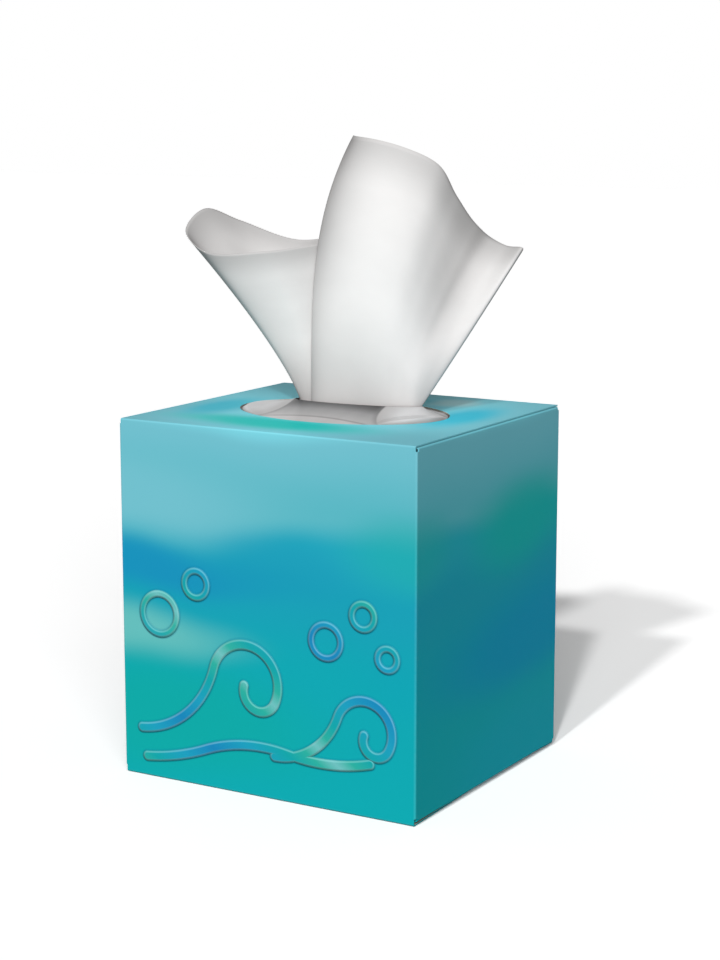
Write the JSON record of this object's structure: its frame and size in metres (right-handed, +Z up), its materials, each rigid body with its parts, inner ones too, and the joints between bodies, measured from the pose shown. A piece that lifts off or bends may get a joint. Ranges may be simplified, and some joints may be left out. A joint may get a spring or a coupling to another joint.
{
  "type": "tissue box",
  "caption": "Cube carton of facial tissues with a sheet popped up through the slit film in its oval top opening.",
  "frame": {"origin": "centre of the carton's footprint on the surface it stands on", "axes": "+X to the right along the front face, +Y from the front face to the back, +Z up"},
  "size_m": [0.115, 0.1033, 0.2179],
  "materials": {
    "printed_board": "satin, printed",
    "film": "frosted",
    "tissue": "soft matte",
    "glue": "satin"
  },
  "bodies": {
    "root": {"carton": "printed_board", "window_film": "film", "tissue_stack": "tissue", "pulled_sheet": "tissue", "seam_glue": "glue", "top_glue": "glue", "bottom_glue": "glue"}
  },
  "joints": []
}
